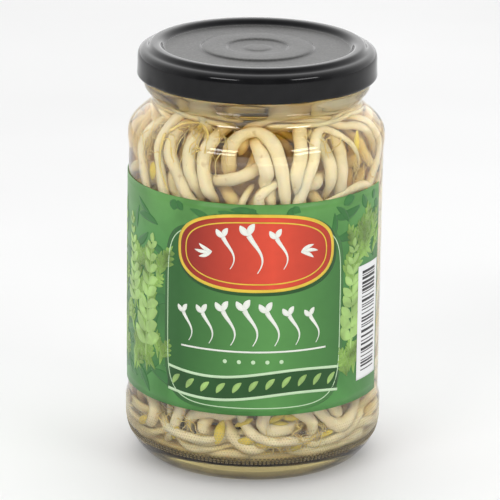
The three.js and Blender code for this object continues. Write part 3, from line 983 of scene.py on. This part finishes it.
def build_heap_core():
    """What shows between the stalks: the middle of the heap in painted shade, rough with stalks seen end on.
    """
    kept = [tuple(p) for p in inset(GLASS_INSIDE, CORE_DEPTH) if p[1] < 104]
    outline = []
    for low, high in zip(kept, kept[1:]):
        pieces = max(1, int(math.dist(low, high) / 1.5))
        outline += [tuple(mix(np.array(low), np.array(high), i / pieces)) for i in range(pieces)]
    outline += [kept[-1], (0, 104.5)]

    def wobble(row, step, radius, height):
        turn = 2 * math.pi * step / CORE_STEPS
        ridges = math.sin(9 * turn + height * 0.35 + 1.7 * math.sin(3 * turn + height * 0.11))
        rough = 0.9 * ridges + 0.4 * math.sin(23 * turn - height * 0.5)
        return radius + rough * min(radius / 15, 1), height

    heap = turned(outline, CORE_STEPS, wobble)
    make_piece("heap_middle_shade", *heap, heap_shade_material(), JAR_BODY, "sprouts")


def lid_top():
    """The outside of the lid, from its middle over the rings and the roll down to its curl."""
    panel, top, side = LID_PANEL, LID_TOP, LID_RADIUS
    pen = Outline(0, panel + 0.12).line(2.8, panel + 0.12)
    pen.curve((3.6, panel + 0.1), (3.8, panel - 0.1), (4.6, panel - 0.1), steps=6).line(7.6, panel + 0.02)
    pen.curve((8.6, panel + 0.05), (8.6, panel + 0.5), (9.8, panel + 0.52), steps=8)
    pen.line(14.8, panel + 0.56)
    pen.curve((16.2, panel + 0.56), (15.9, panel), (17.2, panel), steps=8)
    pen.line(21, panel - 0.02).line(25.3, panel)
    pen.curve((26.5, panel), (26.7, panel + 0.3), (27.1, panel + 0.75), steps=8)
    pen.curve((27.6, top - 0.1), (28.3, top), (29.1, top), steps=8).line(29.7, top)
    pen.curve((30.7, top), (30.7, top - 1.1), (31.6, top - 1.35), steps=9)
    pen.curve((33.2, top - 1.5), (side - 0.2, top - 2.2), (side - 0.15, top - 3.9), steps=10)
    pen.line(side - 0.12, 114.6).line(side - 0.03, LID_BOTTOM + CURL_RADIUS + 0.35)
    return pen.line(side, LID_BOTTOM + CURL_RADIUS).points


def lug(azimuth):
    """One lug, from the curl inwards, with its ends drawn back."""
    root, top = LID_RADIUS - CURL_RADIUS, LID_BOTTOM + LUG_TOP - 0.02
    stations = []
    for i in range(13):
        share = i / 12 - 0.5
        tip = LUG_TIP + 0.77 * float(smooth_step(0.3, 0.5, abs(share)))
        corners = [(tip, LID_BOTTOM + 0.5), (root, LID_BOTTOM + 0.25), (root, top), (tip, top)]
        stations.append((azimuth + LUG_SWEEP * share, corners))
    return rib(stations)


def build_lid():
    """The lid's sheet with its curl and lugs, and a gold lining inside."""
    top = lid_top()
    under = [tuple(p) for p in inset(top, -SHEET)][:-2]
    middle, curl_height = LID_RADIUS - CURL_RADIUS, LID_BOTTOM + CURL_RADIUS
    curl = []
    for angle in [-math.pi * step / 11 for step in range(1, 15)]:
        curl.append((middle + CURL_RADIUS * math.cos(angle), curl_height + CURL_RADIUS * math.sin(angle)))
    outline = [*top, *curl, (LID_RADIUS - SHEET - 0.05, LID_BOTTOM + 2.1), *under[::-1]][::-1]

    def wobble(row, step, radius, height):
        # the curl is pressed in a little where each lug is formed
        if height > LID_BOTTOM + 2.2 or radius < middle - 0.1:
            return radius, height
        azimuth = 360 * step / LID_STEPS
        near = min(abs((azimuth - lug_azimuth + 180) % 360 - 180) for lug_azimuth in lug_azimuths())
        dent = 0.22 * float(1 - smooth_step(3, 9, near))
        return radius - dent, height + 0.3 * dent

    parts = [turned(outline, LID_STEPS, wobble)] + [lug(azimuth) for azimuth in lug_azimuths()]
    made = make_piece("lid_cap", *joined(parts), lacquer_material(), LID_BODY, "lid")
    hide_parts("lid")
    lining = [*map(tuple, inset(under, -0.03)), *map(tuple, inset(under, -0.07)[::-1])][::-1]
    gold = plain_material("gold_lacquer", (0.85, 0.7, 0.36), 0.35)
    make_piece("lid_lining", *turned(lining, LID_STEPS // 2), gold, LID_BODY, "lid")


# The label and what is printed on it


def on_label(spot, layer):
    """The place of a spot on the label, for one layer of ink."""
    azimuth = math.degrees(spot[0] / (LABEL_INNER + PAPER))
    return place(azimuth, LABEL_INNER + PAPER + INK_LIFT * layer, spot[1])


def beside(spot, distance, angle):
    """A spot on the label at a distance from another; the angle is in radians."""
    return (spot[0] + distance * math.cos(angle), spot[1] + distance * math.sin(angle))


def build_label():
    """The paper follows the glass, and its right edge lifts a hair."""
    columns, rows = 220, 24
    points = []
    for side in (0, 1):
        for i in range(columns + 1):
            azimuth = LABEL_RIGHT_EDGE - LABEL_SWEEP + LABEL_SWEEP * i / columns
            lift = 0.05 * float(smooth_step(LABEL_RIGHT_EDGE - 1.5, LABEL_RIGHT_EDGE, azimuth))
            for j in range(rows + 1):
                height = mix(LABEL_BOTTOM, LABEL_TOP, j / rows)
                points.append(place(azimuth, LABEL_INNER + PAPER * side + lift, height))
    faces = sheet_faces(columns + 1, rows + 1)
    made = make_piece("label_wrap", points, faces, paper_material(), JAR_BODY, "label")
    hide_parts("label")


def stroke(path, widths, layer):
    """A band along a path on the label; it reaches widths to each side of the path."""
    path = np.asarray(path, float)
    widths = np.broadcast_to(np.asarray(widths, float), len(path))
    count = max(len(path), math.ceil(length_of(path) / PRINT_STEP) + 1)
    fine = spaced(np.column_stack([path, widths]), count)
    path, widths = fine[:, :2], fine[:, 2]
    along = np.gradient(path, axis=0)
    along /= np.linalg.norm(along, axis=1)[:, None] + 1e-9
    across = np.stack([-along[:, 1], along[:, 0]], 1)
    cells = max(1, math.ceil(2 * widths.max() / PRINT_STEP))
    points = []
    for middle, way, width in zip(path, across, widths):
        for cell in range(cells + 1):
            points.append(on_label(middle + way * width * (1 - 2 * cell / cells), layer))
    return points, grid_faces(len(path), cells + 1)


def patch(middle, reach, layer, rings=32, spokes=160):
    """A filled shape round a middle; reach gives its radius for an angle in radians."""
    points = [on_label(middle, layer)]
    for ring in range(1, rings + 1):
        for spoke in range(spokes):
            angle = 2 * math.pi * spoke / spokes
            points.append(on_label(beside(middle, reach(angle) * ring / rings, angle), layer))
    faces = [(0, 1 + s, 1 + (s + 1) % spokes) for s in range(spokes)]
    return points, faces + grid_faces(rings, spokes, closed=True, flipped=True, first=1)


def oval(half_width, half_height, power=2.0):
    """The radius of a rounded box or oval for an angle."""

    def reach(angle):
        c, s = abs(math.cos(angle)) / half_width, abs(math.sin(angle)) / half_height
        return (c**power + s**power) ** (-1 / power)

    return reach


def ring(middle, reach, width, layer, spokes=160):
    """A line round a middle."""
    angles = [2 * math.pi * spoke / spokes for spoke in range(spokes + 1)]
    return stroke([beside(middle, reach(angle), angle) for angle in angles], width, layer)


def room_on_paper(spot, angle):
    """How far a leaf can reach from a spot on the paper before it meets an edge."""
    radius = LABEL_INNER + PAPER
    right = math.radians(LABEL_RIGHT_EDGE) * radius - EDGE_MARGIN
    left = math.radians(LABEL_RIGHT_EDGE - LABEL_SWEEP) * radius + EDGE_MARGIN
    edges = ((left, right), (LABEL_BOTTOM + EDGE_MARGIN, LABEL_TOP - EDGE_MARGIN))
    room = 1000.0
    for start, way, (low, high) in zip(spot, (math.cos(angle), math.sin(angle)), edges):
        if abs(way) > 1e-6:
            room = min(room, ((high if way > 0 else low) - start) / way)
    return room


def leaf(base, angle, length, width, layer):
    """A pointed leaf on the label, from its base outwards. It ends where the paper ends."""
    length = min(length, room_on_paper(base, angle))
    if length < SHORTEST_LEAF:
        return [], []
    way = np.array([math.cos(angle), math.sin(angle)])
    across = np.array([-way[1], way[0]])
    share = np.linspace(0, 1, 9)
    path = [np.array(base) + way * length * t + across * 0.08 * length * math.sin(math.pi * t) for t in share]
    widths = width * np.sin(np.pi * np.clip(share * 0.96 + 0.02, 0, 1)) ** 0.75
    return stroke(path, widths, layer)


def sprig(base, height, lean, layer, draw):
    """A pea shoot: a bowed stem with pairs of leaves that shrink towards its tip."""
    share = np.linspace(0, 1, 20)
    stem = [(base[0] + lean * t**1.6, base[1] + height * t) for t in share]
    parts = [stroke(stem, 0.32 * (1.2 - share), layer)]
    for i in range(2, 19, 2):
        t = i / 19
        size = height * 0.2 * (1.15 - 0.7 * t)
        tilt = math.atan2(height, lean)
        for side in (1, -1):
            turn = tilt - side * (0.95 - 0.25 * t + 0.3 * (next(draw) - 0.5))
            parts.append(leaf(stem[i], turn, size * mix(0.85, 1.1, next(draw)), size * 0.27, layer))
    parts.append(leaf(stem[-1], math.atan2(height, lean), height * 0.09, height * 0.03, layer))
    return parts


def bean_sprout(base, size, lean, layer):
    """A sprout as a plain shape: a thin bowed root, a thicker stem and two seed leaves."""
    share = np.linspace(0, 1, 26)
    stem = [(base[0] + lean * size * math.sin(3.6 * t + 0.4), base[1] + size * t) for t in share]
    parts = [stroke(stem, size * (0.012 + 0.06 * share**1.5), layer)]
    for turn in (1.15, 2.3):
        parts.append(leaf(stem[-1], turn, size * 0.34, size * 0.09, layer))
    return parts


def print_piece(name, parts, material):
    made = make_piece(name, *joined(parts), material, JAR_BODY, "label")
    thick = made.modifiers.new("ink", "SOLIDIFY")
    thick.thickness = 0.006 * MM
    thick.offset = -1


def foliage(left, right, low, high, count, draw, layer):
    """A thicket of toothed leaves that lean out of the bottom of their box."""
    parts = []
    for _ in range(count):
        spot = (mix(left, right, next(draw)), mix(low, high, next(draw) ** 1.3))
        turn = 1.57 + 1.5 * (next(draw) - 0.5)
        size = mix(6, 12, next(draw))
        parts.append(leaf(spot, turn, size, size * 0.1, layer))
        for share in (0.3, 0.5, 0.7):
            base = beside(spot, size * share, turn)
            for side in (0.75, -0.75):
                parts.append(leaf(base, turn + side, size * 0.42 * (1.2 - share), size * 0.07, layer))
    return parts


def shadows(left, right, low, high, count, draw, layer):
    """Long narrow leaves, as soft shapes behind the rest."""
    parts = []
    for _ in range(count):
        spot = (mix(left, right, next(draw)), mix(low, high, next(draw)))
        length = mix(7, 14, next(draw))
        parts.append(leaf(spot, ALL_ROUND * next(draw), length, 0.13 * length, layer))
    return parts


def print_medallion(inks):
    """A red oval with gold edges, and three sprouts between two sprays of leaves."""
    x, z = 0.5, 69.5
    inks["shade"].append(patch((x + 0.4, z - 0.6), oval(23.7, 11.8, 2.6), 3))
    inks["gold"].append(patch((x, z), oval(23.2, 11.4, 2.6), 4))
    inks["red"].append(patch((x, z), oval(22.3, 10.5, 2.6), 5))
    inks["gold"].append(ring((x, z), oval(20.6, 9.0, 2.6), 0.18, 6))
    for shift, size in ((-7.5, 9), (0, 11), (7.5, 9)):
        inks["cream"] += bean_sprout((x + shift - 0.5, z - size * 0.52), size, 0.2, 6)
    for side in (-1, 1):
        for turn in (-0.45, 0, 0.45):
            way = turn if side > 0 else math.pi - turn
            inks["cream"].append(leaf((x + side * 12.6, z), way, 5.2 - 2 * abs(turn), 0.55, 6))


def wavy_line(height):
    """A line across the arch that waves once."""
    return [(26 * share, height + 1.1 * math.sin(3.1 * share)) for share in np.linspace(-1, 1, 60)]


def print_arch(inks):
    """The arch with its row of sprouts, its line and dots, and its wavy band of leaves."""
    inks["arch"].append(patch((0, 50), oval(27.5, 27.2, 5.5), 2))
    inks["mint"].append(ring((0, 50), oval(26.4, 26.1, 5.5), 0.14, 3))
    for i in range(7):
        inks["cream"] += bean_sprout((-19.6 + 6.2 * i, 42.4), 9.2 + 1.2 * math.cos(i - 3), 0.2, 3)
    inks["cream"].append(stroke([(-21.5, 40.6), (21.5, 40.6)], 0.26, 3))
    for i in range(5):
        inks["mint"].append(patch((-8 + 4 * i, 37.6), oval(0.6, 0.6), 3, 2, 16))
    inks["shade"].append(stroke(wavy_line(30.4), 3.4, 3))
    for height in (27, 33.8):
        inks["mint"].append(stroke(wavy_line(height), 0.4, 4))
    for i in range(11):
        share = -0.9 + 0.18 * i
        base = (26 * share - 1, 28.9 + 1.1 * math.sin(3.1 * share))
        inks["lime"].append(leaf(base, 0.9, 4, 0.8, 4))


def print_bars(inks, draw):
    """A white panel with plain bars of several thicknesses."""
    left, right, bottom, top = 33.9, 45.3, 27.5, 61.5
    level = (bottom + top) / 2
    inks["white"].append(stroke([(left, level), (right, level)], (top - bottom) / 2, 5))
    height = bottom + 2.4
    while height < top - 2.6:
        thick = 0.16 + 0.13 * int(3 * next(draw))
        inks["black"].append(stroke([(36, height + thick), (43.6, height + thick)], thick, 6))
        height += 2 * thick + 0.32 + 0.26 * int(3 * next(draw))


def build_front_print(inks, draw):
    """An arch with a medallion, between thickets of leaves, and bars at the right."""
    print_arch(inks)
    print_medallion(inks)
    for box in ((-47, -28, 24, 80, 34), (-26, 30, 78, 82, 16), (29, 45, 62, 80, 18)):
        inks["dark"] += shadows(*box, draw, 1)
    for box in ((-44, -29.5, 27, 62, 46), (29.5, 33, 30, 62, 16), (34, 42, 63, 70, 14)):
        inks["leafy"] += foliage(*box, draw, 3)
    for base, height, lean in (((-36, 34), 34, 3), ((-43, 46), 26, -2), ((31, 38), 30, 1)):
        inks["lime"] += sprig(base, height, lean, 4, draw)
    print_bars(inks, draw)


def build_back_print(inks, draw):
    """Pale panels with plain rules, among shoots and leaves."""
    for middle in (-96, -134):
        inks["white"].append(patch((middle, 52), oval(15, 24, 9), 5))
        for i in range(11):
            ends = [(middle + side * 12.5, 70.5 - 3.7 * i) for side in (-1, 1)]
            inks["mint"].append(stroke(ends, 0.14, 6))
    shoots = (((-62, 26), 46, 8), ((-74, 30), 38, -5), ((-115, 28), 44, 2), ((-153, 26), 40, -5))
    for base, height, lean in shoots:
        inks["lime"] += sprig(base, height, lean, 4, draw)
    for box in ((-78, -50, 27, 60, 60), (-160, -151, 27, 60, 20)):
        inks["leafy"] += foliage(*box, draw, 3)
    inks["dark"] += shadows(-160, -52, 24, 80, 80, draw, 1)


def build_print():
    """Generic print in the label's colours, one piece for each ink."""
    draw = random_numbers(3301)
    inks = {
        "dark": ink_material("ink_dark", (0.045, 0.19, 0.045)),
        "arch": glowing_ink("ink_arch", (0.03, 0.13, 0.028), (0.1, 0.3, 0.075), 26),
        "shade": ink_material("ink_shade", (0.02, 0.09, 0.02)),
        "gold": ink_material("ink_gold", (0.82, 0.58, 0.06)),
        "red": glowing_ink("ink_red", (0.28, 0.02, 0.012), (0.75, 0.075, 0.035), 24),
        "cream": ink_material("ink_cream", (0.86, 0.88, 0.8), 0.95),
        "leafy": ink_material("ink_leafy", (0.3, 0.52, 0.11), 0.38),
        "lime": ink_material("ink_lime", (0.42, 0.66, 0.2), 0.6),
        "mint": ink_material("ink_mint", (0.6, 0.8, 0.52), 0.92),
        "white": ink_material("ink_white", (0.84, 0.84, 0.84), 0.97),
        "black": ink_material("ink_black", (0.02, 0.02, 0.02), 0.9),
    }
    parts = {name: [] for name in inks}
    build_front_print(parts, draw)
    build_back_print(parts, draw)
    for name, material in inks.items():
        print_piece(f"print_{name}", parts[name], material)


# The stage


def add_light(name, azimuth, elevation, distance, size, power, mirrored=True):
    """A soft light on a sphere round the jar. One that isn't mirrored shows in no reflection."""
    light = bpy.data.lights.new(name, "AREA")
    light.shape = "RECTANGLE"
    light.size, light.size_y = size
    light.energy = power
    made = bpy.data.objects.new(name, light)
    middle = Vector((0, 0, 0.07))
    up, turn = math.radians(elevation), math.radians(azimuth)
    way = Vector((math.cos(up) * math.sin(turn), -math.cos(up) * math.cos(turn), math.sin(up)))
    made.location = middle + way * distance
    made.rotation_euler = way.to_track_quat("Z", "Y").to_euler()
    made.visible_camera = False
    made.visible_glossy = mirrored
    bpy.context.collection.objects.link(made)


def build_stage():
    mesh = bpy.data.meshes.new("floor")
    corners = [(x * FLOOR_REACH, y * FLOOR_REACH, 0) for x, y in ((-1, -1), (1, -1), (1, 1), (-1, 1))]
    mesh.from_pydata(corners, [], [(0, 1, 2, 3)])
    floor = bpy.data.objects.new("floor", mesh)
    mesh.materials.append(plain_material("pale_floor", (0.93, 0.93, 0.93), 0.6, 3.0))
    floor.location.z = -0.05 * MM
    bpy.context.collection.objects.link(floor)
    build_world()
    bpy.context.scene.view_settings.view_transform = "Standard"
    add_light("left_panel", -34.5, 38, 1.0, (0.4, 0.17), 2.1)
    add_light("right_panel", 51.5, 38, 1.0, (0.4, 0.17), 1.95)
    add_light("low_fill", 4, 7, 1.25, (1.5, 0.5), 3.9, mirrored=False)


def build_world():
    """A studio that is bright behind the jar and dim in front, against a white backdrop."""
    world = bpy.data.worlds.new("studio")
    world.use_nodes = True
    graph = Graph(world.node_tree)
    way = graph.add("ShaderNodeTexCoord").outputs["Generated"]
    backwards = graph.add("ShaderNodeSeparateXYZ", {0: way}).outputs[1]
    light = graph.between(backwards, -0.6, 0.9, FRONT_LIGHT, BACK_LIGHT)
    seen = graph.add("ShaderNodeLightPath").outputs["Is Camera Ray"]
    strength = graph.add("ShaderNodeMix", {0: seen, 2: light, 3: 1}).outputs[0]
    graph.feed(strength, graph.nodes["Background"].inputs["Strength"])
    graph.feed((1, 1, 1), graph.nodes["Background"].inputs["Color"])
    bpy.context.scene.world = world


def build_camera():
    """A long lens one metre in front, looking down 17 degrees, with the slight roll of the photo."""
    camera = bpy.data.cameras.new("camera")
    camera.sensor_width = 36
    camera.lens = 262
    camera.shift_x = -0.0094
    made = bpy.data.objects.new("camera", camera)
    tilt = Euler((math.radians(90 - CAMERA_TILT), 0, 0)).to_matrix().to_4x4()
    roll = Matrix.Rotation(math.radians(CAMERA_ROLL), 4, "Z")
    made.matrix_world = Matrix.Translation((0, -1.0, 0.3716)) @ tilt @ roll
    bpy.context.collection.objects.link(made)
    bpy.context.scene.camera = made


def main():
    build_camera()
    build_stage()
    build_glass()
    build_heel_marks()
    build_brine()
    build_sprouts()
    build_label()
    build_print()
    build_lid()
    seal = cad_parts["seal_ring"]
    seal.data.materials.clear()
    seal.data.materials.append(plain_material("gasket", (0.72, 0.7, 0.64), 0.55))


main()
